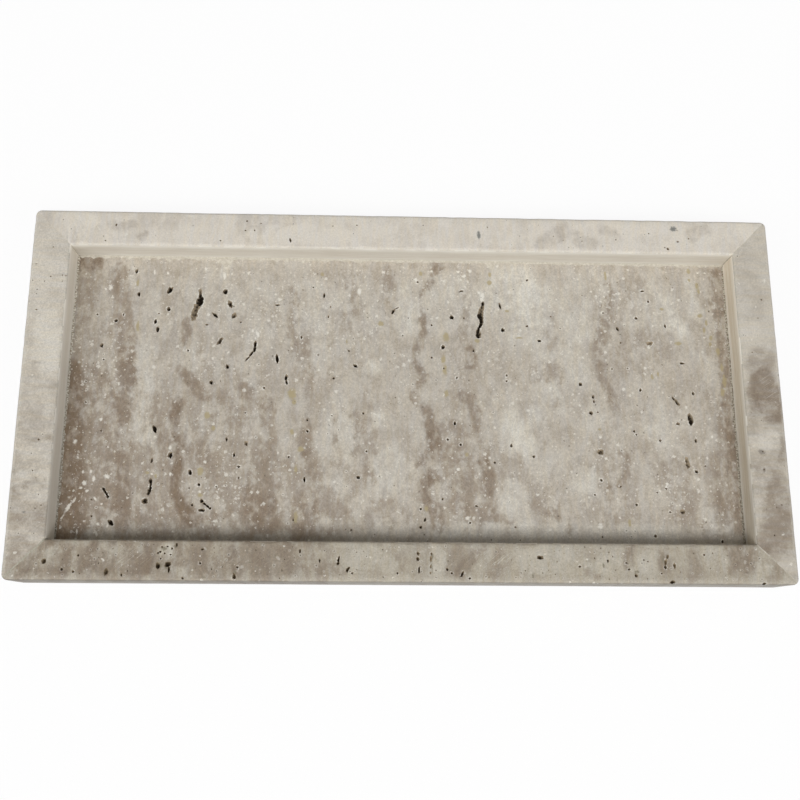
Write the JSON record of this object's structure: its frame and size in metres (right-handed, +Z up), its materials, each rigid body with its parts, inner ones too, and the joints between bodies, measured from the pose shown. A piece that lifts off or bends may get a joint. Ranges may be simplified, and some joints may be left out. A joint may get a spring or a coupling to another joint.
{
  "type": "travertine tray",
  "caption": "Shallow rectangular tray of honed vein-cut travertine: a base slab with mitred rails glued round it, standing on thin pads.",
  "frame": {"origin": "middle of the surface that the tray stands on, under the middle of its outline", "axes": "+X along the length to the right as the picture shows it, +Y from front to back, +Z up out of the recess"},
  "size_m": [0.3, 0.149, 0.0204],
  "materials": {
    "floor_travertine": "honed, unsealed, with open and filled pores",
    "rail_travertine": "honed, with eased edges",
    "pale_filler": "matt cement filler",
    "stone_adhesive": "cured resin adhesive",
    "clear_silicone": "soft and satin"
  },
  "bodies": {
    "root": {"base_slab": "floor_travertine", "front_rail": "rail_travertine", "back_rail": "rail_travertine", "left_rail": "rail_travertine", "right_rail": "rail_travertine", "front_bed_glue": "stone_adhesive", "back_bed_glue": "stone_adhesive", "left_bed_glue": "stone_adhesive", "right_bed_glue": "stone_adhesive", "front_left_mitre_glue": "pale_filler", "front_right_mitre_glue": "pale_filler", "back_left_mitre_glue": "pale_filler", "back_right_mitre_glue": "pale_filler", "front_filler_bead": "pale_filler", "back_filler_bead": "pale_filler", "left_filler_bead": "pale_filler", "right_filler_bead": "pale_filler", "front_left_pad": "clear_silicone", "front_right_pad": "clear_silicone", "back_left_pad": "clear_silicone", "back_right_pad": "clear_silicone"}
  },
  "joints": []
}
